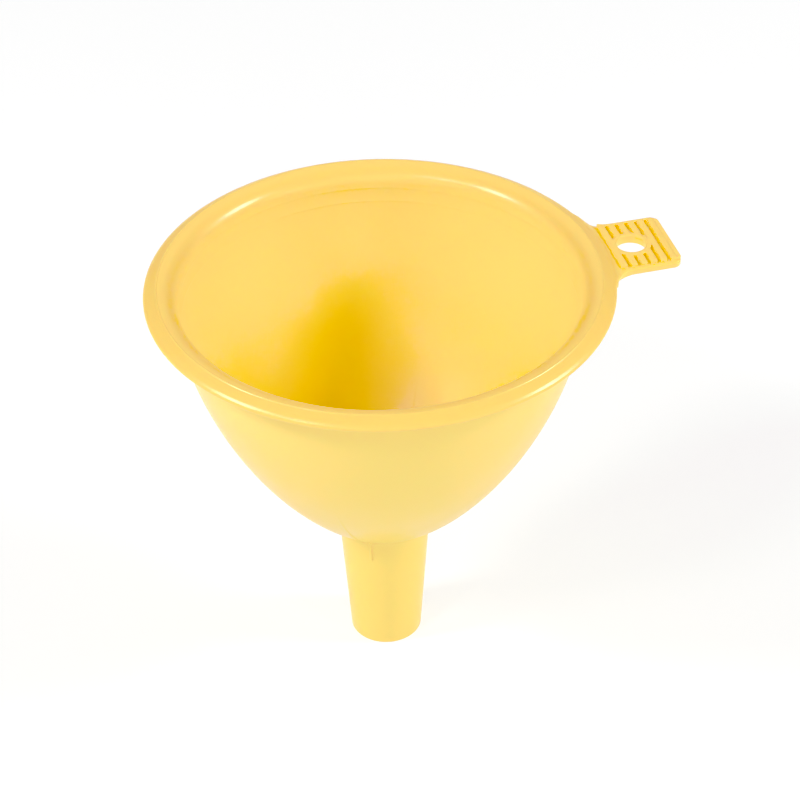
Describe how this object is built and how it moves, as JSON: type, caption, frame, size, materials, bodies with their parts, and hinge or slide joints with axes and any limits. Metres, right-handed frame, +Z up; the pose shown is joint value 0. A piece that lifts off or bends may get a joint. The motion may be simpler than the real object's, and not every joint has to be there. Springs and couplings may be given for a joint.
{
  "type": "pouring funnel",
  "caption": "Deep bowl funnel with a flared rolled rim, a short tapered spout and a ridged hang tab with a round hole.",
  "frame": {"origin": "centre of the spout's flat open end, on the funnel's axis", "axes": "+Z up along the funnel's axis from the spout to the mouth, +X from the axis towards the hang tab"},
  "size_m": [0.1377, 0.12, 0.1152],
  "materials": {
    "bowl_plastic": "semi-gloss, slightly translucent yellow polypropylene",
    "rim_plastic": "semi-gloss, slightly translucent yellow polypropylene",
    "spout_plastic": "semi-gloss, slightly translucent yellow polypropylene",
    "tab_plastic": "semi-gloss, slightly translucent yellow polypropylene"
  },
  "bodies": {
    "root": {"bowl": "bowl_plastic", "rim": "rim_plastic", "spout": "spout_plastic", "hang_tab": "tab_plastic"}
  },
  "joints": []
}
